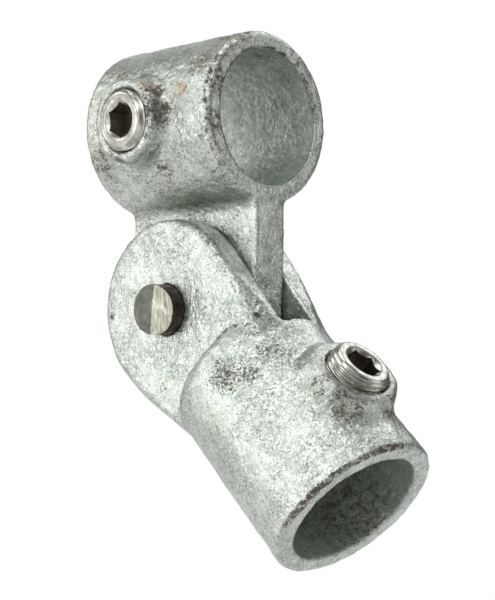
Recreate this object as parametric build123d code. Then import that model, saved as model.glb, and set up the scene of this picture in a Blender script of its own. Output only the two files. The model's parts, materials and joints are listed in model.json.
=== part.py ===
from build123d import *

import math
import os

# Single swivel tube clamp: a through collar and a blind socket joined by one pivot pin.
# Frame: origin at the middle of the collar bore, +X along that bore, +Z up and away
# from the pivot. The pivot pin runs along Y and the collar's set screw enters from -Y.
# The socket hangs from the pivot and is shown swung REST_SWING towards +X.
# All lengths are in mm and all angles in degrees.

# --- fits ----------------------------------------------------------------------------
SLOT_GAP = 0.5           # each side of the tongue
PIN_RUNNING_FIT = 0.08   # radial, pin in the tongue
SCREW_RUNNING_FIT = 0.05  # radial, screw crests in the hole

# --- collar --------------------------------------------------------------------------
BORE_R = 17.5            # takes a 33.7 mm tube with room for the zinc coat
BORE_EDGE_ROUND = 0.5    # inner corner of every bore mouth
COLLAR_WALL = 4.6
COLLAR_LENGTH = 46.0
COLLAR_OUTER_R = BORE_R + COLLAR_WALL
COLLAR_RIM_ROUND = COLLAR_WALL / 2

# --- pivot ---------------------------------------------------------------------------
EAR_R = 23.3
EAR_COLLAR_GAP = 2.4     # ear rim to the collar's barrel
PIVOT_X = -2.8           # pin axis, a little behind the middle of the collar
PIVOT_Z = -(COLLAR_OUTER_R + EAR_COLLAR_GAP + EAR_R)
REST_SWING = 44.0        # socket axis from straight down, towards +X

# --- tongue --------------------------------------------------------------------------
TONGUE_THICK = 10.8
TONGUE_SET_IN = 0.4      # side edges, inside the collar's two end faces
TONGUE_STRAIGHT = 3.9    # of the side edges below the barrel, before they taper
TONGUE_PAST_EAR = 0.2    # its end round is this much larger than the ears
TONGUE_EDGE_ROUND = 1.2
TONGUE_ROOT_FILLET = 3.5
TONGUE_END_R = EAR_R + TONGUE_PAST_EAR
TONGUE_HALF_WIDTH = COLLAR_LENGTH / 2 - TONGUE_SET_IN
TONGUE_TAPER_Z = -(COLLAR_OUTER_R + TONGUE_STRAIGHT)

# --- socket and its ears; S is the distance from the pin along the socket axis ---------
EAR_THICK = 7.6
SLOT_HALF = TONGUE_THICK / 2 + SLOT_GAP
EAR_OUTER_Y = SLOT_HALF + EAR_THICK
EAR_EDGE_ROUND = 2.0
SLOT_FLOOR_GAP = 2.5     # below the end of the tongue
SLOT_FLOOR_S = TONGUE_END_R + SLOT_FLOOR_GAP
SLOT_FLOOR_ROUND = 1.5
WEB_THICK = 5.5          # between the slot floor and the end of the bore
SOCKET_BORE_END_S = SLOT_FLOOR_S + WEB_THICK
SOCKET_BORE_END_ROUND = 3.0
SOCKET_BORE_DEPTH = 40.0
SOCKET_MOUTH_S = SOCKET_BORE_END_S + SOCKET_BORE_DEPTH

SOCKET_WALL = 3.9        # at the closed end
SOCKET_DRAFT = 0.9       # the barrel is this much larger in radius at the mouth
SOCKET_R_TOP = BORE_R + SOCKET_WALL
SOCKET_R_MOUTH = SOCKET_R_TOP + SOCKET_DRAFT
SOCKET_SHOULDER = 6.6    # of the barrel, above the slot floor
SOCKET_END_S = SLOT_FLOOR_S - SOCKET_SHOULDER
SOCKET_END_ROUND = 7.0
SOCKET_RIM_ROUND = 1.3
SHOULDER_FILLET = 1.2

EAR_NECK_S = SLOT_FLOOR_S + 0.5
EAR_NECK_RUN = 8.0       # the neck goes on this far inside the barrel
EAR_NECK_HALF_WIDTH = SOCKET_R_TOP - 0.7
EAR_CONE_R = SOCKET_R_TOP + 0.4  # the neck narrows on a cone, this radius at EAR_NECK_S
EAR_CONE_CLEAR = 0.2     # and this far outside the ears where their sides leave the round

# --- screw bosses --------------------------------------------------------------------
BOSS_ROOT_FILLET = 3.0
COLLAR_BOSS_TOP_R = 10.5
COLLAR_BOSS_ROOT_R = 11.2
COLLAR_BOSS_HEIGHT = 4.8  # above the barrel
COLLAR_BOSS_FACE = COLLAR_OUTER_R + COLLAR_BOSS_HEIGHT
COLLAR_BOSS_ROUND = 1.3
COLLAR_SCREW_X = -2.8
SOCKET_BOSS_TOP_R = 11.2
SOCKET_BOSS_ROOT_R = 12.6
SOCKET_BOSS_HEIGHT = 4.0  # at the middle of its face
SOCKET_BOSS_FACE = SOCKET_R_TOP + SOCKET_BOSS_HEIGHT
SOCKET_BOSS_TILT = 9.8   # as-cast slope of that face
SOCKET_BOSS_HIGH = 30.0  # its high side, turned from +Y towards the mouth
SOCKET_BOSS_ROUND = 2.0
SOCKET_SCREW_SET_BACK = 22.7  # screw axis from the mouth
SOCKET_SCREW_S = SOCKET_MOUTH_S - SOCKET_SCREW_SET_BACK

# --- pin -----------------------------------------------------------------------------
PIN_R = 6.5
PIN_NEAR_PROUD = 5.4     # end that stands out of the -Y ear
PIN_FAR_PROUD = 1.5
PIN_CROP_TILT = 13.0     # the near end is cropped, one half of it on a slope
PIN_CROP_TURN = 64.0     # the ridge of that crop, turned from the socket axis
PIN_END_CHAMFER = 0.4

# --- set screws ----------------------------------------------------------------------
SCREW_MAJOR_R = 7.8      # over the thread crests
SCREW_LENGTH = 10.4
SCREW_CHAMFER = 0.7
SCREW_POINT_CHAMFER = 1.8
HEX_ACROSS_FLATS = 8.0
HEX_DEPTH = 5.6
HEX_COUNTERSINK_R = 5.35
CUP_R = 3.6
CUP_DEPTH = 1.3
COLLAR_SCREW_PROUD = 1.3  # above the middle of its boss face
SOCKET_SCREW_PROUD = 3.0
COLLAR_HEX_TURN = 0.0    # how each screw happens to be turned
SOCKET_HEX_TURN = 19.0
SCREW_HOLE_R = SCREW_MAJOR_R + SCREW_RUNNING_FIT

TO_MINUS_Y = Rot(90, 0, 0)  # turns a piece built along +Z to point along -Y
TO_PLUS_X = Rot(0, 90, 0)


def turned(outline):
    """Full turn about Z of a flat outline drawn with X outwards and Z upwards."""
    return revolve(Plane.XZ * outline, Axis.Z, 360)


def outline(points, rounds):
    """Closed outline with some corners rounded; rounds maps a corner to its radius."""
    flat = make_face(Polyline(*points, close=True))
    for corner, radius in rounds.items():
        vertex = flat.vertices().sort_by_distance((*points[corner], 0))[0]
        flat = fillet(vertex, radius)
    return flat


def touch_point(centre, radius, corner):
    """Where the tangent from a corner touches a circle, on the corner's own side."""
    over = corner[0] - centre[0]
    up = corner[1] - centre[1]
    side = math.copysign(1, corner[0])
    turn = math.acos(radius / math.hypot(over, up)) * (-side if up > 0 else side)
    angle = math.atan2(up, over) + turn
    return centre[0] + radius * math.cos(angle), centre[1] + radius * math.sin(angle)


def round_end(centre, radius, half_width, at):
    """Flat outline with a full round end whose sides run tangent to a straight edge."""
    disc = Pos(*centre) * Circle(radius)
    left = (-half_width, at)
    right = (half_width, at)
    points = [touch_point(centre, radius, left), left, right, touch_point(centre, radius, right)]
    return disc + make_face(Polyline(*points, close=True))


def along_y(radius, low, high):
    """Round bar along Y between two heights."""
    return Pos(0, high, 0) * TO_MINUS_Y * Cylinder(
        radius, high - low, align=(Align.CENTER, Align.CENTER, Align.MIN)
    )


def boss(top_r, root_r, root_at, face, tilt, high):
    """Round boss along +Z from the bore axis, its face sloping up to one side."""
    spread = (root_r - top_r) / (face - root_at)
    low = root_at / 2
    high = face + top_r / 2
    blank = Pos(0, 0, low) * Cone(
        root_r + spread * (root_at - low),
        top_r - spread * (high - face),
        high - low,
        align=(Align.CENTER, Align.CENTER, Align.MIN),
    )
    waste = Box(4 * root_r, 4 * root_r, root_r, align=(Align.CENTER, Align.CENTER, Align.MIN))
    return blank - Pos(0, 0, face) * Rot(0, 0, -high) * Rot(tilt, 0, 0) * waste


def screw_hole(face):
    """Drill for a set screw along +Z, from inside the bore out past the boss."""
    drill = Cylinder(SCREW_HOLE_R, face, align=(Align.CENTER, Align.CENTER, Align.MIN))
    return Pos(0, 0, BORE_R / 2) * drill


def with_boss(wall, place, knob, face, rim_round):
    """Stand a boss on a round wall, blend its root and round the rim of its face."""
    joined = wall + place * knob
    joined = fillet(joined.edges().filter_by(GeomType.BSPLINE), BOSS_ROOT_FILLET)
    middle = (place * Pos(0, 0, face)).position
    rings = joined.edges().filter_by(
        lambda edge: edge.geom_type in (GeomType.CIRCLE, GeomType.ELLIPSE) and edge.is_closed
    )
    rim = min(rings, key=lambda ring: (ring.arc_center - middle).length)
    return fillet(rim, rim_round)


def bore_rings(body):
    """Whole circles of the tube bore's radius."""
    rings = body.edges().filter_by(GeomType.CIRCLE)
    return rings.filter_by(lambda edge: edge.is_closed and abs(edge.radius - BORE_R) < 0.01)


def collar_casting():
    shell = extrude(Plane.YZ * Circle(COLLAR_OUTER_R), COLLAR_LENGTH / 2, both=True)
    shell = fillet(shell.edges().filter_by(GeomType.CIRCLE), COLLAR_RIM_ROUND)
    screw_place = Pos(COLLAR_SCREW_X, 0, 0) * TO_MINUS_Y
    knob = boss(COLLAR_BOSS_TOP_R, COLLAR_BOSS_ROOT_R, COLLAR_OUTER_R, COLLAR_BOSS_FACE, 0, 0)
    shell = with_boss(shell, screw_place, knob, COLLAR_BOSS_FACE, COLLAR_BOSS_ROUND)

    pivot = (PIVOT_X, PIVOT_Z)
    plate = round_end(pivot, TONGUE_END_R, TONGUE_HALF_WIDTH, TONGUE_TAPER_Z)
    plate += Pos(0, TONGUE_TAPER_Z / 2) * Rectangle(2 * TONGUE_HALF_WIDTH, -TONGUE_TAPER_Z)
    plate = extrude(Plane.XZ * plate, TONGUE_THICK / 2, both=True)
    sides = [
        edge
        for edge in plate.edges()
        if abs(abs(edge.center().Y) - TONGUE_THICK / 2) < 0.001 and edge.center().Z < -1
    ]
    body = shell + fillet(sides, TONGUE_EDGE_ROUND)
    roots = [
        edge
        for edge in body.edges().filter_by(GeomType.LINE).filter_by(Axis.X)
        if abs(abs(edge.center().Y) - TONGUE_THICK / 2) < 0.001
    ]
    body = fillet(roots, TONGUE_ROOT_FILLET)

    body -= extrude(Plane.YZ * Circle(BORE_R), COLLAR_LENGTH, both=True)
    body = fillet(bore_rings(body), BORE_EDGE_ROUND)
    body -= screw_place * screw_hole(COLLAR_BOSS_FACE)
    hole = along_y(PIN_R + PIN_RUNNING_FIT, -TONGUE_THICK, TONGUE_THICK)
    body -= Pos(PIVOT_X, 0, PIVOT_Z) * hole
    return body


def on_socket(s):
    """Place at a distance from the pin along the socket axis, before the swing."""
    return Pos(0, 0, -s)


def socket_casting():
    barrel = turned(
        outline(
            [
                (0, -SOCKET_END_S),
                (SOCKET_R_TOP, -SOCKET_END_S),
                (SOCKET_R_MOUTH, -SOCKET_MOUTH_S),
                (0, -SOCKET_MOUTH_S),
            ],
            {1: SOCKET_END_ROUND, 2: SOCKET_RIM_ROUND},
        )
    )
    screw_place = on_socket(SOCKET_SCREW_S) * TO_PLUS_X
    knob = boss(
        SOCKET_BOSS_TOP_R,
        SOCKET_BOSS_ROOT_R,
        SOCKET_R_TOP,
        SOCKET_BOSS_FACE,
        SOCKET_BOSS_TILT,
        SOCKET_BOSS_HIGH,
    )
    barrel = with_boss(
        Rot(0, 0, 180) * barrel, screw_place, knob, SOCKET_BOSS_FACE, SOCKET_BOSS_ROUND
    )

    neck_end = EAR_NECK_S + EAR_NECK_RUN
    ears = round_end((0, 0), EAR_R, EAR_NECK_HALF_WIDTH, -EAR_NECK_S)
    ears += Pos(0, -(EAR_NECK_S + neck_end) / 2) * Rectangle(
        2 * EAR_NECK_HALF_WIDTH, neck_end - EAR_NECK_S
    )
    ears = extrude(Plane.XZ * ears, EAR_OUTER_Y, both=True)
    touch_x, touch_z = touch_point((0, 0), EAR_R, (EAR_NECK_HALF_WIDTH, -EAR_NECK_S))
    touch_cone_r = math.hypot(touch_x, EAR_OUTER_Y) + EAR_CONE_CLEAR
    slope = (touch_cone_r - EAR_CONE_R) / (touch_z + EAR_NECK_S)
    top = EAR_R + EAR_THICK
    ears &= turned(
        outline(
            [
                (0, top),
                (EAR_CONE_R + slope * (EAR_NECK_S + top), top),
                (EAR_CONE_R + slope * (EAR_NECK_S - neck_end), -neck_end),
                (0, -neck_end),
            ],
            {},
        )
    )
    rims = [
        edge
        for edge in ears.edges()
        if abs(abs(edge.center().Y) - EAR_OUTER_Y) < 0.001 and edge.center().Z > -neck_end + 1
    ]
    ears = fillet(rims, EAR_EDGE_ROUND)
    body = barrel + ears
    shoulders = [
        edge
        for edge in body.edges()
        if abs(abs(edge.center().Y) - EAR_OUTER_Y) < 0.001 and edge.center().Z < -EAR_R / 2
    ]
    body = fillet(shoulders, SHOULDER_FILLET)

    reach = 2 * (EAR_R + SLOT_FLOOR_S)
    slot = Box(reach, 2 * SLOT_HALF, reach, align=(Align.CENTER, Align.CENTER, Align.MIN))
    slot = fillet(slot.edges().filter_by(Axis.X).group_by(Axis.Z)[0], SLOT_FLOOR_ROUND)
    body -= on_socket(SLOT_FLOOR_S) * slot
    bore = outline(
        [
            (0, -SOCKET_BORE_END_S),
            (BORE_R, -SOCKET_BORE_END_S),
            (BORE_R, -SOCKET_MOUTH_S),
            (0, -SOCKET_MOUTH_S),
        ],
        {1: SOCKET_BORE_END_ROUND},
    )
    body -= turned(bore)
    body = fillet(bore_rings(body).sort_by(Axis.Z)[0], BORE_EDGE_ROUND)
    body -= screw_place * screw_hole(SOCKET_BOSS_FACE)
    return body - along_y(PIN_R, -2 * EAR_OUTER_Y, 2 * EAR_OUTER_Y)


def pivot_pin():
    """Plain pin pressed in both ears; its near end was cropped, so half of it slopes."""
    near = -EAR_OUTER_Y - PIN_NEAR_PROUD
    far = EAR_OUTER_Y + PIN_FAR_PROUD
    bar = along_y(PIN_R, near, far)
    bar = chamfer(bar.edges().filter_by(GeomType.CIRCLE).sort_by(Axis.Y)[-1], PIN_END_CHAMFER)
    crop = Box(4 * PIN_R, PIN_R, 4 * PIN_R, align=(Align.MIN, Align.MAX, Align.CENTER))
    return bar - Pos(0, near, 0) * Rot(0, PIN_CROP_TURN, 0) * Rot(0, 0, PIN_CROP_TILT) * crop


def set_screw(turn):
    """Hexagon socket set screw with a cup point, outer end at the origin, along +Z."""
    tip = -SCREW_LENGTH
    body = turned(
        outline(
            [
                (0, 0),
                (SCREW_MAJOR_R - SCREW_CHAMFER, 0),
                (SCREW_MAJOR_R, -SCREW_CHAMFER),
                (SCREW_MAJOR_R, tip + SCREW_POINT_CHAMFER),
                (SCREW_MAJOR_R - SCREW_POINT_CHAMFER, tip),
                (CUP_R, tip),
                (0, tip + CUP_DEPTH),
            ],
            {},
        )
    )
    flats = RegularPolygon(HEX_ACROSS_FLATS / 2, 6, major_radius=False)
    body -= Pos(0, 0, -HEX_DEPTH) * extrude(Rot(0, 0, turn) * flats, HEX_DEPTH + 1)
    sink = HEX_COUNTERSINK_R - HEX_ACROSS_FLATS / 2
    return body - Cone(
        HEX_COUNTERSINK_R - sink,
        HEX_COUNTERSINK_R,
        sink,
        align=(Align.CENTER, Align.CENTER, Align.MAX),
    )


def build():
    swing = Pos(PIVOT_X, 0, PIVOT_Z) * Rot(0, -REST_SWING, 0)
    collar_face = Pos(0, 0, COLLAR_BOSS_FACE + COLLAR_SCREW_PROUD)
    collar_screw = Pos(COLLAR_SCREW_X, 0, 0) * TO_MINUS_Y * collar_face
    socket_face = Pos(0, 0, SOCKET_BOSS_FACE + SOCKET_SCREW_PROUD)
    socket_screw = swing * on_socket(SOCKET_SCREW_S) * TO_PLUS_X * socket_face
    return {
        "collar_casting": collar_casting(),
        "socket_casting": swing * socket_casting(),
        "pivot_pin": swing * pivot_pin(),
        "collar_set_screw": collar_screw * set_screw(COLLAR_HEX_TURN),
        "socket_set_screw": socket_screw * set_screw(SOCKET_HEX_TURN),
    }


os.makedirs("parts", exist_ok=True)
for node, shape in build().items():
    export_step(shape, f"parts/{node}.step")
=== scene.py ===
import json
import math

import bpy
import numpy as np
from mathutils import Matrix, Quaternion, Vector


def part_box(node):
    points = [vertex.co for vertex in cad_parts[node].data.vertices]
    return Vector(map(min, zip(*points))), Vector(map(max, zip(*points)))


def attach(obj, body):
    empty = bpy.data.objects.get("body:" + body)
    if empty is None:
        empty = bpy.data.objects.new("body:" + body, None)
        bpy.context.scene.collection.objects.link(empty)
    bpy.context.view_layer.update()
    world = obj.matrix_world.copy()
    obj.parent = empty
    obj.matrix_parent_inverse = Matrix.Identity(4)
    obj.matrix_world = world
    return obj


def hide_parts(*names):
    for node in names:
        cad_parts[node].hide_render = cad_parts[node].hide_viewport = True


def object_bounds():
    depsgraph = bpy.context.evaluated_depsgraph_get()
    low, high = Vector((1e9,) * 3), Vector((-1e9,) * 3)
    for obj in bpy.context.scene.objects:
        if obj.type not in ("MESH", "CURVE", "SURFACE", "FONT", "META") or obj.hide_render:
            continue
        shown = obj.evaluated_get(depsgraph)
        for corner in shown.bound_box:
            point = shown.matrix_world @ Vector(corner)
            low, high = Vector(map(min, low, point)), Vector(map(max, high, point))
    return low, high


# Swivel tube clamp, dressed: two galvanised castings with a rough cast skin, a cropped
# steel pin and two threaded set screws. Lengths are written in millimetres and turned
# to metres by MM. The frame is the part's own: +X along the collar bore, +Z up.

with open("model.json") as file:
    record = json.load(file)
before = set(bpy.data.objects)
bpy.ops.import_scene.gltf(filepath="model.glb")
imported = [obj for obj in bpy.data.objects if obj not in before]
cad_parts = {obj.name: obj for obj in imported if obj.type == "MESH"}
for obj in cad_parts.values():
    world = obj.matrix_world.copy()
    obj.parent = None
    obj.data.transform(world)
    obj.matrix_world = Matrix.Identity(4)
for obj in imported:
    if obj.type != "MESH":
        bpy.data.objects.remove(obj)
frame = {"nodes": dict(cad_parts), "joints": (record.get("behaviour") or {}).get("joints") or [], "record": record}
cad_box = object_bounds()

MM = 0.001
X, Y, Z = Vector((1, 0, 0)), Vector((0, 1, 0)), Vector((0, 0, 1))
JOINTS = {joint["name"]: joint for joint in frame["joints"]}
MOUNTS = {mount["name"]: mount for mount in frame["record"]["mounts"]}
PIVOT = Vector(JOINTS["pivot"]["pos_m"])
SOCKET_AXIS = Vector(MOUNTS["socket_bore"]["axis"])
COLLAR_OUT = -Vector(JOINTS["collar_screw_travel"]["axis"])
SOCKET_OUT = -Vector(JOINTS["socket_screw_travel"]["axis"])

# Cast skin
CAD_WELD = 0.001 * MM                 # points of a CAD mesh nearer than this are one
SKIN_CELL = 0.45 * MM                 # size of the skin's facets
SOFTENING = 4                         # passes that round the sand-cast corners
SWELL = 14 * MM                       # wavelengths of the waves in the cast skin
LUMP = 3.2 * MM
GRAIN = 1.5 * MM
SWELL_HEIGHT = 0.30 * MM
LUMP_HEIGHT = 0.26 * MM
GRAIN_HEIGHT = 0.16 * MM
RELIEF_LEVELS = 20                    # steps in which the relief fades out
BORE_SKIN = 0.3                       # the cored bores are this much smoother
BORE_WALL = (0.15 * MM, 0.7 * MM)     # how far off its radius a wall still counts as the bore's
BORE_END = 4 * MM                     # and how far past the bore's ends
PIT_SIZE = 1.3 * MM                   # pits eaten into the worst of the skin
PIT_DEPTH = 0.4 * MM
MOUTH_WIDTH = 0.8 * MM                # countersink of the screw holes
MOUTH_DEPTH = 1.0 * MM
MOUTH_CLEAR = 0.05 * MM               # between the screw and the countersink's slope
BOSS_FACE = 2 * MM                    # the boss's face is looked for this far round the screw
BOSS_TOP = (4 * MM, 2 * MM)           # the countersink fades out between these depths below it

# Dirt, and painted shade, that gather by the shape of the skin
WIDE_PASSES = 90                      # smoothing that shows hollows as large as a boss's foot
NARROW_PASSES = 14                    # and the one that shows sharp creases and edges
HOLLOW = (0.15 * MM, 1.1 * MM)        # depths between which each of them fills with dirt and painted shade
CREASE = (0.02 * MM, 0.06 * MM)
EDGE = (0.02 * MM, 0.07 * MM)
HOLLOW_GRIME_AND_SHADE = 0.45
EDGE_GRIME = 0.4
EDGE_SPOT_GRIME = 0.9
COLLAR_DUST = 0.6                     # dirt all over each casting
SOCKET_DUST = 0.3
EAR_SHADOW = 0.8                       # painted shadow that the ears' edge casts on the tongue round it
EAR_SHADOW_WIDTH = 4 * MM
EAR_SHADOW_EDGE = 1 * MM
EAR_R = 23.3 * MM                     # round end of each ear
TONGUE_SIDE = 5.6 * MM                # the tongue's faces lie nearer its middle than this
SPOT_CORE = 0.25                      # share of a spot's reach over which it is at full strength

# Marks on the castings: x, y, z and reach in millimetres, then strength
GRIME_AND_SHADE_SPOTS = (
    (7.5, -24.5, 1.0, 7.5, 1.1),            # the hollow beside the collar's screw boss
    (6.0, -24.0, 7.5, 6.0, 1.1),
    (-12.0, -18.0, 13.5, 6.0, 0.8),         # over the boss
    (-3.0, -20.0, 12.5, 6.0, 0.9),
    (-6.0, -25.0, -10.0, 8.0, 0.9),         # under it
    (3.0, -18.5, -12.5, 5.5, 1.0),
    (-19.0, -20.0, -9.0, 10.0, 0.85),
    (16.5, -17.5, 12.0, 9.0, 0.85),         # behind the collar's rim
    (19.0, -8.0, 20.0, 9.0, 0.95),
    (23.0, -19.0, -2.0, 6.0, 0.95),         # on the rim itself
    (23.0, -17.5, 7.0, 7.5, 1.05),
    (23.0, -12.0, 15.0, 7.0, 0.8),
    (23.0, 12.0, 14.0, 8.0, 0.7),
    (2.0, -12.0, -18.5, 10.0, 0.6),         # under the barrel
    (-22.8, -13.5, -48.6, 2.2, 1.0),        # ear's edge
    (21.3, -2.0, -43.0, 8.0, 0.75),         # foot of the tongue
    (27.1, -11.4, -50.5, 1.8, 1.2),         # nick in the neck
    (39.3, -10.9, -63.5, 5.5, 0.8),         # round the socket's screw boss
    (47.0, -12.0, -69.0, 5.5, 0.9),
    # dirt under the socket's screw, with painted shade on the boss's lower flank
    (52.5, -8.5, -73.5, 10.0, 0.9),
    (57.5, 4.0, -74.0, 9.0, 0.95),
    (-5.0, 22.0, 6.0, 9.0, 0.85),           # the far side
    (12.0, 20.5, -9.0, 7.0, 0.8),
    (24.0, 21.0, -84.0, 9.0, 0.8),
    (-12.0, 13.5, -60.0, 5.0, 0.8),
)
EDGE_GRIME_SPOTS = (
    (22.3, -20.0, 2.0, 30.0, 1.0),          # the collar's open rim
    (22.3, 0.0, 21.0, 22.0, 0.7),
    (22.3, 18.0, 8.0, 16.0, 0.5),
    (12.0, -13.0, -31.0, 20.0, 0.45),       # top of the ear
    (23.0, -13.0, -47.0, 12.0, 0.5),
    (47.0, -16.0, -91.0, 22.0, 0.85),       # the socket's mouth
    (58.0, -6.0, -86.0, 18.0, 0.85),
)
BORE_GRIME_AND_SHADE_SPOTS = (
    (12.5, 16.3, 6.2, 5.0, 0.6),            # speckled wear in the collar's bore
    (18.0, 12.6, 12.1, 8.0, 0.7),
    (10.9, 5.1, 16.7, 8.0, 0.6),
    (17.2, 17.0, 0.0, 5.0, 0.6),
    (18.0, 5.1, 16.7, 8.0, 0.8),
    (33.3, 8.4, -106.0, 9.0, 0.8),          # dirt with oil in it, and painted shade deep in the socket's bore
    (38.0, 14.5, -101.0, 8.0, 0.75),
    (28.0, 4.0, -104.0, 9.0, 0.75),
    (44.0, 17.0, -95.0, 7.0, 0.6),
    # this wide one paints shade over the whole of the socket's bore
    (34.0, 13.0, -98.0, 24.0, 0.85),
)
PITTED_SPOTS = (
    (24.0, -20.3, -65.5, 7.0, 1.0),         # the neck, under the ear
    (28.0, -18.0, -62.5, 4.0, 0.7),
    (30.6, -18.3, -65.6, 4.5, 1.0),
    (32.5, -13.9, -59.5, 7.0, 0.75),
    (27.0, -14.0, -54.5, 5.0, 0.6),
    (-0.5, -13.5, -34.5, 4.0, 0.35),        # on the ear's face
    (-5.0, -13.5, -67.5, 3.0, 0.5),
    (8.8, -13.5, -55.6, 2.0, 0.5),
    (-2.0, -22.0, -11.0, 6.0, 0.5),         # under the collar's boss
    (19.0, -14.0, -15.0, 8.0, 0.35),
    (18.0, 20.5, -70.0, 6.0, 0.8),          # the far side
    (6.0, 23.0, 3.0, 6.0, 0.7),
)
RUST_SPOTS = (                              # weak ones are olive, strong ones rust
    (4.5, -24.8, 8.5, 4.5, 1.0),            # beside the collar's boss and over it
    (12.5, -21.6, 6.5, 4.0, 1.0),
    (15.0, -18.5, 10.5, 3.5, 0.7),
    (-3.0, -20.5, 11.5, 3.0, 0.6),
    (-11.0, -18.5, 13.0, 5.0, 0.5),
    (8.0, -20.0, 5.0, 14.0, 0.3),
    (14.0, -17.0, -61.5, 3.5, 0.5),         # the neck
    (52.0, -9.0, -74.0, 4.0, 0.6),          # round the socket's boss
    (47.0, -10.0, -70.0, 5.0, 0.4),
    (2.0, -12.0, -18.5, 10.0, 0.45),        # under the collar's barrel
    (14.5, -12.0, -18.6, 8.0, 0.4),
    (-18.0, -20.0, -8.0, 9.0, 0.4),
    (20.5, -20.8, -81.0, 13.0, 0.35),       # the socket's barrel and neck
    (12.0, -14.0, -66.0, 10.0, 0.3),
    (19.0, -10.0, 19.0, 9.0, 0.4),
    (2.0, 22.5, -3.0, 9.0, 0.45),           # the far side
    (30.0, 21.0, -76.0, 10.0, 0.45),
)

# Turned pieces
TURNED_STEPS = 96                     # sides
TURNED_WELD = 0.002 * MM              # joins the seam and the points on the axis
SCREW_SMOOTH = 38                     # degrees up to which a corner is shaded round
PIN_SMOOTH = 30

# Set screws: G 3/8 thread, 19 turns to the inch
SCREW_R = 7.8 * MM
SCREW_LENGTH = 10.4 * MM
PITCH = 25.4 / 19 * MM
THREAD_DEPTH = 0.62 * MM
THREAD_FLANK = (0.12, 0.9)            # where the flank rises, as shares of half a turn
THREAD_RINGS = 84
FACE_R = 7.05 * MM
THREAD_FROM_R = FACE_R - 0.6 * MM     # walls outside this radius take the thread
FACE_ROUND = 0.22 * MM                # rounding of the outer face's corners
FACE_FALL = 1.3                       # how steeply the inner corner falls into the countersink
FACE_DEPTH = 0.35 * MM                # of the face's edge
FACE_SLOPE = 0.9                      # of the chamfer between the face and the thread
FACE_STEP = 0.15 * MM
SINK_R = 4.95 * MM                    # countersink round the hexagon
SINK_EDGE = 0.03 * MM
HEX_ACROSS_FLATS = 8.0 * MM
HEX_DEPTH = 5.6 * MM
COLLAR_HEX_TURN = 0.0
SOCKET_HEX_TURN = 19.0
OIL_AND_SHADE = (-0.6 * MM, -2.6 * MM)          # heights between which the hexagon darkens with oil and painted shade
OIL_AND_SHADE_R = SINK_R - 0.1 * MM
POINT_CHAMFER = 1.8 * MM
POINT_RINGS = 12
CUP_R = 3.6 * MM
CUP_DEPTH = 1.3 * MM

# Pivot pin, cropped at its near end
PIN_R = 6.5 * MM
PIN_NEAR_CHAMFER = 0.2 * MM
PIN_FAR_CHAMFER = 0.35 * MM
PIN_EDGE = 0.12 * MM                  # rounding of the cropped end
CROP_TILT = 13.0
CROP_RIDGE_TURN = 14.0                # of the ridge between the two halves of the cropped end
CROP_CUTS = (                         # each cut's ridge turn, and its shift down the slope
    (CROP_RIDGE_TURN, 0.1 * MM),
    (46.0, -1.0 * MM),
)


# --- mesh helpers ------------------------------------------------------------------------
def only(piece):
    """Make one object the selected and active one."""
    bpy.ops.object.select_all(action="DESELECT")
    piece.select_set(True)
    bpy.context.view_layer.objects.active = piece


def modify(piece, kind, **settings):
    """Add a modifier with its settings and apply it."""
    only(piece)
    modifier = piece.modifiers.new(kind.title(), kind)
    for name, value in settings.items():
        setattr(modifier, name, value)
    bpy.ops.object.modifier_apply(modifier=modifier.name)


def points_of(piece):
    """The piece's vertices as an array of places."""
    places = np.zeros(len(piece.data.vertices) * 3)
    piece.data.vertices.foreach_get("co", places)
    return places.reshape(-1, 3)


def normals_of(piece):
    """The piece's vertex normals as an array."""
    normals = np.zeros(len(piece.data.vertices) * 3, np.float32)
    piece.data.vertex_normals.foreach_get("vector", normals)
    return normals.reshape(-1, 3)


def move_points(piece, places):
    """Put the piece's vertices at new places."""
    piece.data.vertices.foreach_set("co", places.astype(np.float32).ravel())
    piece.data.update()


def smoothstep(low, high, value):
    """0 below low, 1 above high, with a soft step between."""
    share = np.clip((value - low) / (high - low), 0, 1)
    return share * share * (3 - 2 * share)


def write_attribute(piece, name, values):
    """Keep one number for each vertex, for the material to read."""
    attribute = piece.data.attributes.new(name, "FLOAT", "POINT")
    attribute.data.foreach_set("value", values.astype(np.float32))


def apply_place(piece, place):
    """Put a piece's place in its mesh, so that its object sits at the origin."""
    piece.data.transform(place @ piece.matrix_world)
    piece.matrix_world = Matrix.Identity(4)
    piece.data.update()


def smooth(piece, degrees):
    """Shade a piece round, apart from corners sharper than an angle."""
    only(piece)
    bpy.ops.object.shade_smooth_by_angle(angle=math.radians(degrees))


def frame_on(origin, up, side):
    """A placing whose Z runs along up and whose X leans to side."""
    across = (side - side.dot(up) * up).normalized()
    turn = Matrix((across, up.cross(across), up)).transposed().to_4x4()
    return Matrix.Translation(origin) @ turn


# --- the two castings --------------------------------------------------------------------
def copy_of(node, name):
    """A merged copy of a CAD node, to be worked on in its place."""
    piece = bpy.data.objects.new(name, frame["nodes"][node].data.copy())
    bpy.context.scene.collection.objects.link(piece)
    piece.data.materials.clear()
    only(piece)
    bpy.ops.object.mode_set(mode="EDIT")
    bpy.ops.mesh.select_all(action="SELECT")
    bpy.ops.mesh.remove_doubles(threshold=CAD_WELD)
    bpy.ops.object.mode_set(mode="OBJECT")
    return piece


def axis_reach(places, origin, axis):
    """How far each place lies along a line, and the step out to it from the line."""
    reach = places - np.array(origin)
    along = reach @ np.array(axis)
    return along, reach - along[:, None] * np.array(axis)


def cover(places, spots):
    """Share of each place that soft round spots cover."""
    share = np.zeros(len(places))
    for *middle, reach, strength in spots:
        distance = np.linalg.norm(places / MM - np.array(middle), axis=1)
        fade = 1 - smoothstep(SPOT_CORE * reach, reach, distance)
        share = np.maximum(share, strength * fade)
    return share


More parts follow.
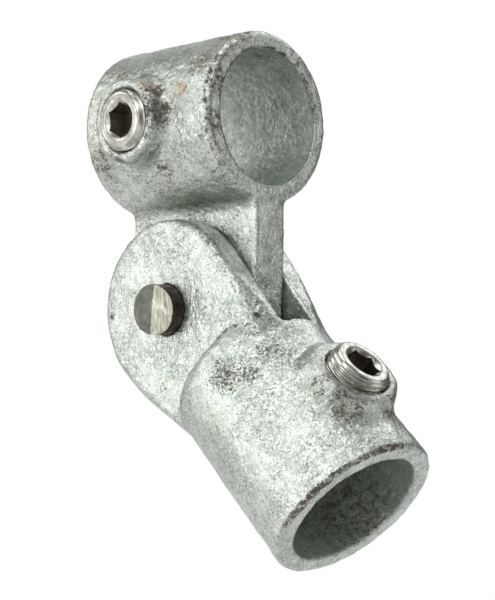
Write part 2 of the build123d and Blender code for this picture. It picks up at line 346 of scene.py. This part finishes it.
def share_in_bore(piece, bore):
    """1 on the wall of a cored bore and 0 outside it."""
    along, out = axis_reach(points_of(piece), bore["pos_m"], bore["axis"])
    distance = np.linalg.norm(out, axis=1)
    radius = bore["dims"]["r_mm"] * MM
    half_length = bore["dims"]["length_mm"] * MM / 2
    facing_in = (normals_of(piece) * out).sum(axis=1) < 0
    near_wall = 1 - smoothstep(radius + BORE_WALL[0], radius + BORE_WALL[1], distance)
    return near_wall * facing_in * (np.abs(along) < half_length + BORE_END)


def countersink(piece, place, out):
    """Open the mouth of a screw hole a little round its screw."""
    places = points_of(piece)
    height, across = axis_reach(places, place, out)
    radius = np.linalg.norm(across, axis=1)
    top = height[radius < SCREW_R + BOSS_FACE].max()
    sink = 1 - smoothstep(SCREW_R + MOUTH_CLEAR, SCREW_R + MOUTH_WIDTH, radius)
    sink *= smoothstep(top - BOSS_TOP[0], top - BOSS_TOP[1], height)
    move_points(piece, places - MOUTH_DEPTH * sink[:, None] * np.array(out))


def press(piece, weights, kind, length, height):
    """Push a casting's skin in and out by a procedural relief of one wavelength."""
    group = piece.vertex_groups.new(name="skin")
    levels = np.round(weights * RELIEF_LEVELS).astype(int)
    for level in np.unique(levels):
        points = np.nonzero(levels == level)[0].tolist()
        group.add(points, level / RELIEF_LEVELS, "REPLACE")
    texture = bpy.data.textures.new("skin_relief", kind)
    texture.noise_scale = length
    if kind == "CLOUDS":
        texture.noise_depth = 1
    texture.contrast = 1.2
    modify(
        piece,
        "DISPLACE",
        texture=texture,
        texture_coords="LOCAL",
        strength=height,
        mid_level=0.5,
        vertex_group="skin",
    )
    piece.vertex_groups.remove(piece.vertex_groups["skin"])


def relief_of(piece, passes):
    """How far each point lies below (hollow) or above (edge) its smoothed surroundings."""
    eased = piece.copy()
    eased.data = piece.data.copy()
    bpy.context.scene.collection.objects.link(eased)
    modify(eased, "SMOOTH", factor=0.5, iterations=passes)
    offset = ((points_of(eased) - points_of(piece)) * normals_of(piece)).sum(axis=1)
    bpy.data.objects.remove(eased)
    return offset


def casting(node, name, bore, screw_end, screw_out, dust):
    """A CAD casting given its cast skin and the marks that its finish reads, painted shade among them."""
    piece = copy_of(node, name)
    modify(piece, "REMESH", mode="VOXEL", voxel_size=SKIN_CELL)
    modify(piece, "SMOOTH", factor=0.5, iterations=SOFTENING)
    places = points_of(piece)
    in_bore = share_in_bore(piece, bore)
    wide, narrow = relief_of(piece, WIDE_PASSES), relief_of(piece, NARROW_PASSES)
    on_edge = smoothstep(*EDGE, -narrow)
    # painted shadow on the tongue, in a band just outside each ear's round edge
    off_ear_edge = np.hypot(places[:, 0] - PIVOT.x, places[:, 2] - PIVOT.z) - EAR_R
    ear_shadowed = smoothstep(-EAR_SHADOW_EDGE, 0, off_ear_edge) * (1 - smoothstep(0, EAR_SHADOW_WIDTH, off_ear_edge))
    ear_shadowed *= np.abs(places[:, 1]) < TONGUE_SIDE
    pitted = cover(places, PITTED_SPOTS)
    # dirt, with painted shade in hollows, creases, the socket's bore and on the tongue by the ears
    grime_and_shade = np.maximum.reduce(
        [
            cover(places, GRIME_AND_SHADE_SPOTS),
            cover(places, BORE_GRIME_AND_SHADE_SPOTS) * in_bore,
            # hollows and creases darken with dirt and painted shade
            HOLLOW_GRIME_AND_SHADE * smoothstep(*HOLLOW, wide),
            smoothstep(*CREASE, narrow),
            on_edge * (EDGE_GRIME + EDGE_SPOT_GRIME * cover(places, EDGE_GRIME_SPOTS)),
            EAR_SHADOW * ear_shadowed,
            dust * (1 - in_bore),
        ]
    )

    skin = 1 - (1 - BORE_SKIN) * in_bore
    for length, height in ((SWELL, SWELL_HEIGHT), (LUMP, LUMP_HEIGHT), (GRAIN, GRAIN_HEIGHT)):
        press(piece, skin, "CLOUDS", length, height)
    press(piece, pitted, "STUCCI", PIT_SIZE, PIT_DEPTH)
    countersink(piece, screw_end, screw_out)
    for mark, values in (
        ("grime_and_shade", grime_and_shade),
        ("pitted", pitted),
        ("rusty", cover(places, RUST_SPOTS)),
        ("bore", in_bore),
    ):
        write_attribute(piece, mark, values)
    only(piece)
    bpy.ops.object.shade_smooth()
    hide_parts(node)
    return piece


# --- turned and threaded pieces ----------------------------------------------------------
def turned(name, profile):
    """Solid of revolution about Z: profile points (radius, height) joined by lines."""
    bpy.ops.object.select_all(action="DESELECT")
    bpy.ops.mesh.primitive_plane_add(size=MM)
    piece = bpy.context.object
    piece.name = name
    bpy.ops.object.mode_set(mode="EDIT")
    bpy.ops.mesh.merge(type="CENTER")
    last = Vector((0, 0, 0))
    for number, (radius, height) in enumerate(profile):
        here = Vector((radius, 0, height))
        if number == 0:
            bpy.ops.transform.translate(value=here - last)
        else:
            bpy.ops.mesh.extrude_region_move(TRANSFORM_OT_translate={"value": here - last})
        last = here
    bpy.ops.mesh.select_all(action="SELECT")
    bpy.ops.mesh.spin(steps=TURNED_STEPS, angle=2 * math.pi, center=(0, 0, 0), axis=Z)
    bpy.ops.mesh.select_all(action="SELECT")
    bpy.ops.mesh.remove_doubles(threshold=TURNED_WELD)
    bpy.ops.mesh.normals_make_consistent(inside=False)
    bpy.ops.object.mode_set(mode="OBJECT")
    return piece


def cut_thread(piece):
    """Press the helix of a right-hand thread into the outer wall."""
    places = points_of(piece)
    radius = np.hypot(places[:, 0], places[:, 1])
    angle = np.arctan2(places[:, 1], places[:, 0])
    phase = places[:, 2] / PITCH - angle / (2 * math.pi)
    flank = np.abs(2 * (phase - np.floor(phase)) - 1)
    groove = smoothstep(*THREAD_FLANK, flank)
    limit = SCREW_R - THREAD_DEPTH * groove
    wall = radius > THREAD_FROM_R
    share = np.where(wall & (radius > limit), limit / np.maximum(radius, MM), 1)
    places[:, :2] *= share[:, None]
    move_points(piece, places)


def screw_blank():
    """The screw before it is placed: outer end at z = 0, point downwards."""
    flat = HEX_ACROSS_FLATS / 2
    sink = SINK_R - flat
    profile = [(0, -sink), (flat, -sink), (SINK_R - FACE_ROUND, -FACE_ROUND * FACE_FALL)]
    profile += [(SINK_R + FACE_ROUND, -SINK_EDGE), (SINK_R + 3 * FACE_ROUND, 0)]
    profile += [(FACE_R - 2 * FACE_ROUND, 0), (FACE_R - FACE_ROUND / 2, -FACE_ROUND / 2)]
    foot = POINT_CHAMFER - SCREW_LENGTH
    for number in range(THREAD_RINGS + 1):
        height = -FACE_DEPTH + (foot + FACE_DEPTH) * number / THREAD_RINGS
        chamfer_r = FACE_R - (height + FACE_DEPTH) * FACE_SLOPE + FACE_STEP
        profile.append((min(SCREW_R, chamfer_r), height))
    for number in range(1, POINT_RINGS + 1):
        fall = number / POINT_RINGS * POINT_CHAMFER
        profile.append((SCREW_R - fall, foot - fall))
    profile += [(CUP_R, -SCREW_LENGTH), (0, CUP_DEPTH - SCREW_LENGTH)]
    piece = turned("screw_blank", profile)
    cut_thread(piece)
    return piece


def cut_hexagon(piece, turn):
    """Sink the key's hexagon into the outer end."""
    bpy.ops.object.select_all(action="DESELECT")
    bpy.ops.mesh.primitive_cylinder_add(
        vertices=6,
        radius=HEX_ACROSS_FLATS / 2 / math.cos(math.pi / 6),
        depth=2 * HEX_DEPTH,
        rotation=(0, 0, math.radians(turn)),
    )
    key = bpy.context.object
    bpy.ops.object.transform_apply(location=False, rotation=True, scale=False)
    modify(piece, "BOOLEAN", operation="DIFFERENCE", solver="EXACT", object=key)
    bpy.data.objects.remove(key)


def outer_end(node, out, centre):
    """Middle of a screw's outer end, from its CAD node."""
    low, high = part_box(node)
    middle = (low + high) / 2
    reach = ((points_of(frame["nodes"][node]) - np.array(centre)) @ np.array(out)).max()
    on_axis = middle - (middle - centre).dot(out) * out
    return on_axis + float(reach) * out


def set_screw(blank, node, name, place, turn):
    """A copy of the blank with its hexagon cut, in the place of a CAD screw."""
    piece = blank.copy()
    piece.data = blank.data.copy()
    piece.name = name
    bpy.context.scene.collection.objects.link(piece)
    cut_hexagon(piece, turn)
    places = points_of(piece)
    # inside the hexagon the steel darkens with depth: oil, and painted shade
    inside = np.hypot(places[:, 0], places[:, 1]) < OIL_AND_SHADE_R
    write_attribute(piece, "recess", inside * smoothstep(*OIL_AND_SHADE, places[:, 2]))
    apply_place(piece, place)
    smooth(piece, SCREW_SMOOTH)
    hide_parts(node)
    return piece


def pivot_pin():
    """Plain bar, cropped at its near end by two sloping shear faces."""
    low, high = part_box("pivot_pin")
    near, far = -low.y, -high.y
    profile = [(0, near), (PIN_R - PIN_NEAR_CHAMFER, near), (PIN_R, near - PIN_NEAR_CHAMFER)]
    profile += [(PIN_R, far + PIN_FAR_CHAMFER), (PIN_R - PIN_FAR_CHAMFER, far), (0, far)]
    piece = turned("cropped_pivot_pin", profile)
    only(piece)
    bpy.ops.object.mode_set(mode="EDIT")
    tilt = math.radians(CROP_TILT)
    for degrees, shift in CROP_CUTS:
        turn = math.radians(degrees)
        fall = Vector((math.cos(turn), -math.sin(turn), 0))
        bpy.ops.mesh.select_all(action="SELECT")
        bpy.ops.mesh.bisect(
            plane_co=fall * shift + Z * near,
            plane_no=fall * math.sin(tilt) + Z * math.cos(tilt),
            use_fill=True,
            clear_outer=True,
        )
    bpy.ops.object.mode_set(mode="OBJECT")
    modify(piece, "BEVEL", width=PIN_EDGE, segments=2, limit_method="ANGLE", angle_limit=0.1)
    apply_place(piece, frame_on(Vector((PIVOT.x, 0, PIVOT.z)), -Y, X))
    smooth(piece, PIN_SMOOTH)
    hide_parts("pivot_pin")
    return piece


# --- finishes ----------------------------------------------------------------------------
UNDER, OVER, BLENDED = 6, 7, 2        # the colour sockets of a Mix node

SPECK_LIFT = 0.26                     # how far dirt lifts a grain towards showing
SPECK_EDGE = (0.64, 0.71)             # heights of the grain between which a speck shows
PINHOLE_SPACING = 1.6 * MM
PINHOLE_EDGE = (0.16, 0.10)           # their radius and soft edge, as shares of the spacing
PINHOLE_PATCH = 5 * MM                # they come in patches of this size
PEEL_DEPTH = 0.28 * MM                # relief of the dipped skin, the plating and the tear
PLATING_DEPTH = 0.03 * MM
TEAR_DEPTH = 0.06 * MM
TEAR_WIDTH = 0.45 * MM                # streaks on the torn half of the pin's ends
TEAR_TURN = -35.0
TEAR_STRETCH = 0.1
RIDGE_EDGE = (-0.1 * MM, 0.3 * MM)    # soft border of the torn half, across the ridge


def colour(text):
    """A linear colour from an sRGB hex value."""
    parts = [int(text[i : i + 2], 16) / 255 for i in (1, 3, 5)]
    linear = [c / 12.92 if c <= 0.04045 else ((c + 0.055) / 1.055) ** 2.4 for c in parts]
    return (*linear, 1)


def add_node(tree, kind, sockets=None, output=0, **settings):
    """Add a node with its settings, fill its sockets and give one of its outputs.

    A socket takes a number, a vector, a hex colour or the output of an earlier node.
    """
    node = tree.nodes.new("ShaderNode" + kind)
    for name, value in settings.items():
        setattr(node, name, value)
    for name, value in (sockets or {}).items():
        if isinstance(value, bpy.types.NodeSocket):
            tree.links.new(value, node.inputs[name])
        elif isinstance(value, str):
            node.inputs[name].default_value = colour(value)
        else:
            node.inputs[name].default_value = value
    return node.outputs[output] if node.outputs else None


def new_material(name):
    """An empty material and its node tree."""
    material = bpy.data.materials.new(name)
    material.use_nodes = True
    tree = material.node_tree
    tree.nodes.clear()
    return material, tree


def tint(tree, under, over, pattern, low, high, most=1.0):
    """Lay a colour over another where a pattern passes from low to high, up to a share."""
    share = add_node(
        tree,
        "MapRange",
        {"Value": pattern, "From Min": low, "From Max": high, "To Max": most},
        interpolation_type="SMOOTHSTEP",
    )
    sockets = {"Factor": share, UNDER: under, OVER: over}
    return add_node(tree, "Mix", sockets, BLENDED, data_type="RGBA")


def specks(tree, share, grain):
    """Specks of a grain, a few where the share is low and most of it at 1."""
    full = add_node(tree, "Math", {0: share, 1: 1.0}, operation="MINIMUM")
    lifted = add_node(tree, "Math", {0: full, 1: SPECK_LIFT, 2: grain}, operation="MULTIPLY_ADD")
    return add_node(
        tree,
        "MapRange",
        {"Value": lifted, "From Min": SPECK_EDGE[0], "From Max": SPECK_EDGE[1]},
        interpolation_type="SMOOTHSTEP",
    )


def pinholes(tree, place):
    """Round gas holes, a few tenths of a millimetre wide and some millimetres apart."""
    spread = add_node(
        tree,
        "TexNoise",
        {"Vector": place, "Scale": 1 / PINHOLE_PATCH, "Detail": 2, "Roughness": 0.55},
    )
    chosen = add_node(
        tree,
        "MapRange",
        {"Value": spread, "From Min": 0.52, "From Max": 0.6},
        interpolation_type="SMOOTHSTEP",
    )
    sockets = {"Vector": place, "Scale": 1 / PINHOLE_SPACING}
    from_middle = add_node(tree, "TexVoronoi", sockets, "Distance")
    outer, inner = PINHOLE_EDGE
    return add_node(
        tree,
        "MapRange",
        {"Value": from_middle, "From Min": outer, "From Max": inner, "To Max": chosen},
        interpolation_type="SMOOTHSTEP",
    )


def galvanised_iron():
    """Hot-dip zinc on sand-cast iron: a frosted pale grey-green skin, orange-peeled and
    flecked with dark and bright grains. Brown-grey dirt sits in specks on rims and in
    hollows, with a little rust, and the worst of the skin is eaten into dark pits. The same
    dark film and specks paint shade in hollows, creases and the socket's bore, and a
    shadow on the tongue along the ears."""
    material, tree = new_material("hot_dip_galvanised_cast_iron")
    place = add_node(tree, "TexCoord", output="Object")
    # the first mark holds dirt and painted shade both
    grime_and_shade, pitted, rusty, bore = (
        add_node(tree, "Attribute", output="Fac", attribute_name=mark)
        for mark in ("grime_and_shade", "pitted", "rusty", "bore")
    )
    cloud, mottle, grain, peel, warmth, patches, dirt_grain, pit_grain = (
        add_node(
            tree,
            "TexNoise",
            {"Vector": place, "Scale": 1 / (size * MM), "Detail": detail, "Roughness": rough},
        )
        for size, detail, rough in (
            (8.0, 3, 0.55),       # clouds, where the zinc ran thick
            (2.4, 3, 0.6),        # mottle of the zinc's crystals
            (0.55, 3, 0.75),      # sand grain, drawn twice as coarse as real so that it shows
            (1.3, 2, 0.55),       # orange peel of the dipped skin
            (6.0, 4, 0.7),        # warm patches of old zinc
            (1.8, 3, 0.65),       # patches in which dirt holds
            (0.6, 4, 0.75),       # specks of dirt and of pits, both as coarse as the grain
            (0.6, 3, 0.7),
        )
    )

    zinc = tint(tree, "#a8b1a9", "#c6cdc7", mottle, 0.35, 0.65)
    zinc = tint(tree, zinc, "#dfe4de", cloud, 0.4, 0.65, 0.45)
    zinc = tint(tree, zinc, "#d8d5c0", warmth, 0.52, 0.7, 0.3)
    dark_share = add_node(
        tree,
        "MapRange",
        {"Value": cloud, "From Min": 0.62, "From Max": 0.4, "To Min": 0.3, "To Max": 0.75},
        interpolation_type="SMOOTHSTEP",
    )
    zinc = tint(tree, zinc, "#4b524b", grain, 0.46, 0.37, dark_share)
    zinc = tint(tree, zinc, "#f6f8f4", grain, 0.53, 0.64, 0.75)
    cored = tint(tree, "#a1a9a1", "#bec5be", mottle, 0.35, 0.65)
    cored = tint(tree, cored, "#545a54", grain, 0.45, 0.34, 0.7)
    rust = tint(tree, "#8d8a68", "#a0704c", rusty, 0.3, 0.7)

    streaky = add_node(
        tree,
        "MapRange",
        {"Value": mottle, "From Min": 0.4, "From Max": 0.62, "To Min": 0.2},
        interpolation_type="SMOOTHSTEP",
    )
    rusty = add_node(tree, "Math", {0: rusty, 1: streaky}, operation="MULTIPLY")
    patchy = add_node(
        tree,
        "MapRange",
        {"Value": patches, "From Min": 0.38, "From Max": 0.62, "To Min": 0.6},
        interpolation_type="SMOOTHSTEP",
    )
    grime_and_shade = add_node(tree, "Math", {0: grime_and_shade, 1: patchy}, operation="MULTIPLY")
    grime_and_shade = add_node(tree, "Math", {0: grime_and_shade, 1: 2.0}, operation="POWER")
    # dark specks of dirt, which also paint shade where the mark holds painted shade
    dirt = specks(tree, grime_and_shade, dirt_grain)
    pits = add_node(tree, "Math", {0: pitted, 1: 0.62}, operation="MULTIPLY")
    pits = specks(tree, pits, pit_grain)
    pits = add_node(tree, "Math", {0: pits, 1: pinholes(tree, place)}, operation="MAXIMUM")
    for covered, strength, tone in (
        (bore, 0.85, cored),
        (rusty, 0.8, rust),
        (grime_and_shade, 0.65, "#757060"),     # thin film of dirt, and its specks, both also painting shade
        (dirt, 0.8, "#3d372e"),
        (pits, 0.85, "#4a4136"),
    ):
        share = add_node(tree, "Math", {0: covered, 1: strength}, operation="MULTIPLY")
        sockets = {"Factor": share, UNDER: zinc, OVER: tone}
        zinc = add_node(tree, "Mix", sockets, BLENDED, data_type="RGBA")

    soiled_and_shaded = add_node(tree, "Math", {0: grime_and_shade, 1: 0.6}, operation="MULTIPLY")
    soiled_and_shaded = add_node(tree, "Math", {0: soiled_and_shaded, 1: dirt}, operation="MAXIMUM")
    frosted = add_node(
        tree,
        "MapRange",
        {"Value": mottle, "From Min": 0.3, "From Max": 0.7, "To Min": 0.35, "To Max": 0.22},
        interpolation_type="SMOOTHSTEP",
    )
    dull = add_node(tree, "Math", {0: soiled_and_shaded, 1: 0.7}, operation="MULTIPLY")
    roughness = add_node(tree, "Math", {0: frosted, 1: dull}, operation="MAXIMUM")
    matt = add_node(tree, "Math", {0: soiled_and_shaded, 1: bore}, operation="MAXIMUM")
    metallic = add_node(
        tree,
        "MapRange",
        {"Value": matt, "To Min": 0.85, "To Max": 0.5},
        interpolation_type="SMOOTHSTEP",
    )
    height = add_node(tree, "Math", {0: grain, 1: 0.35, 2: peel}, operation="MULTIPLY_ADD")
    height = add_node(tree, "Math", {0: pits, 1: -0.5, 2: height}, operation="MULTIPLY_ADD")
    bump = add_node(tree, "Bump", {"Height": height, "Strength": 1.0, "Distance": PEEL_DEPTH})
    shader = add_node(
        tree,
        "BsdfPrincipled",
        {"Base Color": zinc, "Roughness": roughness, "Metallic": metallic, "Normal": bump},
    )
    add_node(tree, "OutputMaterial", {"Surface": shader})
    return material


def plated_screw():
    """Bright plated steel, turned and thread-cut, darkening down inside the hexagon with oil and painted shade."""
    material, tree = new_material("bright_plated_steel")
    place = add_node(tree, "TexCoord", output="Object")
    recess = add_node(tree, "Attribute", output="Fac", attribute_name="recess")
    cloud, fine = (
        add_node(
            tree,
            "TexNoise",
            {"Vector": place, "Scale": 1 / (size * MM), "Detail": detail, "Roughness": 0.55},
        )
        for size, detail in (
            (2.5, 3),             # clouds in the plating
            (0.4, 2),             # tool marks, drawn coarse enough to show
        )
    )
    steel = tint(tree, "#99978e", "#cfcec6", cloud, 0.35, 0.7)
    steel = tint(tree, steel, "#67635a", fine, 0.55, 0.8, 0.5)
    oily_and_shaded = add_node(tree, "Math", {0: recess, 1: 0.85}, operation="MULTIPLY")
    sockets = {"Factor": oily_and_shaded, UNDER: steel, OVER: "#655e54"}
    steel = add_node(tree, "Mix", sockets, BLENDED, data_type="RGBA")
    roughness = add_node(
        tree,
        "MapRange",
        {"Value": cloud, "From Min": 0.3, "From Max": 0.7, "To Min": 0.32, "To Max": 0.2},
        interpolation_type="SMOOTHSTEP",
    )
    bump = add_node(tree, "Bump", {"Height": fine, "Strength": 0.25, "Distance": PLATING_DEPTH})
    shader = add_node(
        tree,
        "BsdfPrincipled",
        {"Base Color": steel, "Roughness": roughness, "Metallic": 1.0, "Normal": bump},
    )
    add_node(tree, "OutputMaterial", {"Surface": shader})
    return material


def pin_steel():
    """Bare drawn bar with brown-black scale on its side. The shears left one half of each
    end smooth and dark, and tore the other half bright and streaky."""
    material, tree = new_material("cropped_steel_bar")
    place = add_node(tree, "TexCoord", output="Object")
    normal = add_node(tree, "TexCoord", output="Normal")
    along_pin = add_node(tree, "SeparateXYZ", {"Vector": normal}, "Y")
    along_pin = add_node(tree, "Math", {0: along_pin}, operation="ABSOLUTE")
    end_face = add_node(
        tree,
        "MapRange",
        {"Value": along_pin, "From Min": 0.7, "From Max": 0.85},
        interpolation_type="SMOOTHSTEP",
    )
    from_pin = add_node(tree, "Mapping", {"Vector": place, "Location": -PIVOT})
    turn = math.radians(CROP_RIDGE_TURN)
    across = (math.cos(turn), 0, -math.sin(turn))
    past_ridge = add_node(
        tree, "VectorMath", {0: from_pin, 1: across}, "Value", operation="DOT_PRODUCT"
    )

    cloud = add_node(
        tree,
        "TexNoise",
        {"Vector": place, "Scale": 1 / (2 * MM), "Detail": 3, "Roughness": 0.55},
    )
    stretched = add_node(
        tree,
        "Mapping",
        {
            "Vector": place,
            "Rotation": (0, math.radians(TEAR_TURN), 0),
            "Scale": (1, 1, TEAR_STRETCH),
        },
    )
    streak = add_node(
        tree,
        "TexNoise",
        {"Vector": stretched, "Scale": 1 / TEAR_WIDTH, "Detail": 3, "Roughness": 0.7},
    )
    side = tint(tree, "#38322d", "#544c45", cloud, 0.3, 0.7)
    smooth_half = tint(tree, "#5d5e56", "#777870", cloud, 0.3, 0.7)
    torn_half = tint(tree, "#999789", "#d3d1c3", streak, 0.38, 0.62)
    sheared = tint(tree, smooth_half, torn_half, past_ridge, *RIDGE_EDGE)
    sockets = {"Factor": end_face, UNDER: side, OVER: sheared}
    steel = add_node(tree, "Mix", sockets, BLENDED, data_type="RGBA")
    roughness = add_node(
        tree,
        "MapRange",
        {"Value": cloud, "From Min": 0.3, "From Max": 0.7, "To Min": 0.36, "To Max": 0.26},
        interpolation_type="SMOOTHSTEP",
    )
    bump = add_node(tree, "Bump", {"Height": streak, "Strength": 0.35, "Distance": TEAR_DEPTH})
    shader = add_node(
        tree,
        "BsdfPrincipled",
        {"Base Color": steel, "Roughness": roughness, "Metallic": 0.95, "Normal": bump},
    )
    add_node(tree, "OutputMaterial", {"Surface": shader})
    return material


# --- stage -------------------------------------------------------------------------------
VIEW_AZIMUTH = 43.37     # degrees
VIEW_ELEVATION = -3.08
VIEW_ROLL = -1.84
VIEW_DISTANCE = 505.6 * MM
VIEW_CENTRE = Vector((5.77, 7.92, -45.43)) * MM
LENS = 116.14            # millimetres, as is the sensor's width
SENSOR_WIDTH = 36
ROOM_GLOW = 0.17         # how brightly the white room lights the part
FLOOR_SIZE = 8           # metres
FLOOR_DROP = 60 * MM     # of the floor below the part
SOFTBOX_DISTANCE = 0.9   # metres
SOFTBOXES = (            # azimuth, elevation, width and height in metres, and watts
    ("front_left", -24, 5, (0.5, 0.4), 1.7),
    ("front_right", 20, 5, (0.5, 0.4), 1.0),
    ("far_left", -65, 7, (0.6, 0.4), 1.0),
    ("high_far_left", -60, 38, (0.5, 0.5), 1.6),
    ("high_left", -25, 38, (0.5, 0.5), 0.4),
    ("high_front", 15, 38, (0.5, 0.5), 2.2),
    ("high_right", 55, 38, (0.5, 0.5), 0.8),
    ("overhead", 0, 88, (0.5, 0.5), 2.5),
    ("back", 180, 45, (0.5, 0.5), 1.4),
    ("back_left", -130, 35, (0.5, 0.5), 0.4),
    ("back_right", 135, 40, (0.5, 0.5), 0.4),
    ("right_back", 125, 10, (0.5, 0.4), 0.7),
)


def direction(azimuth, elevation):
    """Unit vector from the part towards a viewer or light. Azimuth 0 is the -Y side."""
    a, e = math.radians(azimuth), math.radians(elevation)
    return Vector((math.sin(a) * math.cos(e), -math.cos(a) * math.cos(e), math.sin(e)))


def add_camera():
    """The camera, on the line that the view is taken along."""
    camera = bpy.data.objects.new("camera", bpy.data.cameras.new("camera"))
    bpy.context.scene.collection.objects.link(camera)
    back = direction(VIEW_AZIMUTH, VIEW_ELEVATION)
    camera.location = VIEW_CENTRE + back * VIEW_DISTANCE
    camera.rotation_mode = "QUATERNION"
    roll = Quaternion((0, 0, 1), math.radians(VIEW_ROLL))
    camera.rotation_quaternion = (-back).to_track_quat("-Z", "Y") @ roll
    camera.data.lens = LENS
    camera.data.sensor_width = SENSOR_WIDTH
    camera.data.clip_start = 10 * MM
    bpy.context.scene.camera = camera


def add_softbox(name, azimuth, elevation, size, watts):
    """A soft area light that faces the part from one direction."""
    data = bpy.data.lights.new(name, "AREA")
    data.shape = "RECTANGLE"
    data.size, data.size_y = size
    data.energy = watts
    light = bpy.data.objects.new(name, data)
    bpy.context.scene.collection.objects.link(light)
    out = direction(azimuth, elevation)
    light.location = VIEW_CENTRE + out * SOFTBOX_DISTANCE
    light.rotation_mode = "QUATERNION"
    light.rotation_quaternion = out.to_track_quat("Z", "Y")


def seen_white(tree, shader):
    """A stage surface that is plain white to look at and lights the part by its shader."""
    seen = add_node(tree, "LightPath", output="Is Camera Ray")
    white = add_node(tree, "Emission", {"Color": "#ffffff", "Strength": 1.0})
    return add_node(tree, "MixShader", {"Fac": seen, 1: shader, 2: white})


def add_world():
    """The white room round the part."""
    world = bpy.data.worlds.new("studio")
    world.use_nodes = True
    tree = world.node_tree
    tree.nodes.clear()
    glow = add_node(tree, "Background", {"Color": "#ffffff", "Strength": ROOM_GLOW})
    add_node(tree, "OutputWorld", {"Surface": seen_white(tree, glow)})
    bpy.context.scene.world = world


def add_floor():
    """The pale paper under the part."""
    bpy.ops.object.select_all(action="DESELECT")
    bpy.ops.mesh.primitive_plane_add(
        size=FLOOR_SIZE, location=(0, 0, cad_box[0].z - FLOOR_DROP)
    )
    floor = bpy.context.object
    floor.name = "floor"
    material, tree = new_material("pale_paper")
    paper = add_node(tree, "BsdfPrincipled", {"Base Color": "#f4f4f4", "Roughness": 0.9})
    add_node(tree, "OutputMaterial", {"Surface": seen_white(tree, paper)})
    floor.data.materials.append(material)


# --- the scene and the part --------------------------------------------------------------
bpy.context.scene.view_settings.view_transform = "Standard"
add_camera()
add_world()
add_floor()
for softbox in SOFTBOXES:
    add_softbox(*softbox)

collar_end = outer_end("collar_set_screw", COLLAR_OUT, Vector())
socket_end = outer_end("socket_set_screw", SOCKET_OUT, PIVOT)
collar = casting(
    "collar_casting", "cast_collar", MOUNTS["collar_bore"], collar_end, COLLAR_OUT, COLLAR_DUST
)
socket = casting(
    "socket_casting", "cast_socket", MOUNTS["socket_bore"], socket_end, SOCKET_OUT, SOCKET_DUST
)
blank = screw_blank()
collar_place = frame_on(collar_end, COLLAR_OUT, X)
collar_screw = set_screw(
    blank, "collar_set_screw", "threaded_collar_screw", collar_place, COLLAR_HEX_TURN
)
socket_place = frame_on(socket_end, SOCKET_OUT, -SOCKET_AXIS)
socket_screw = set_screw(
    blank, "socket_set_screw", "threaded_socket_screw", socket_place, SOCKET_HEX_TURN
)
bpy.data.objects.remove(blank)

iron, bright_steel = galvanised_iron(), plated_screw()
for piece, body, material in (
    (collar, "collar", iron),
    (socket, "socket", iron),
    (collar_screw, "collar_screw", bright_steel),
    (socket_screw, "socket_screw", bright_steel),
    (pivot_pin(), "socket", pin_steel()),
):
    piece.data.materials.clear()
    piece.data.materials.append(material)
    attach(piece, body)
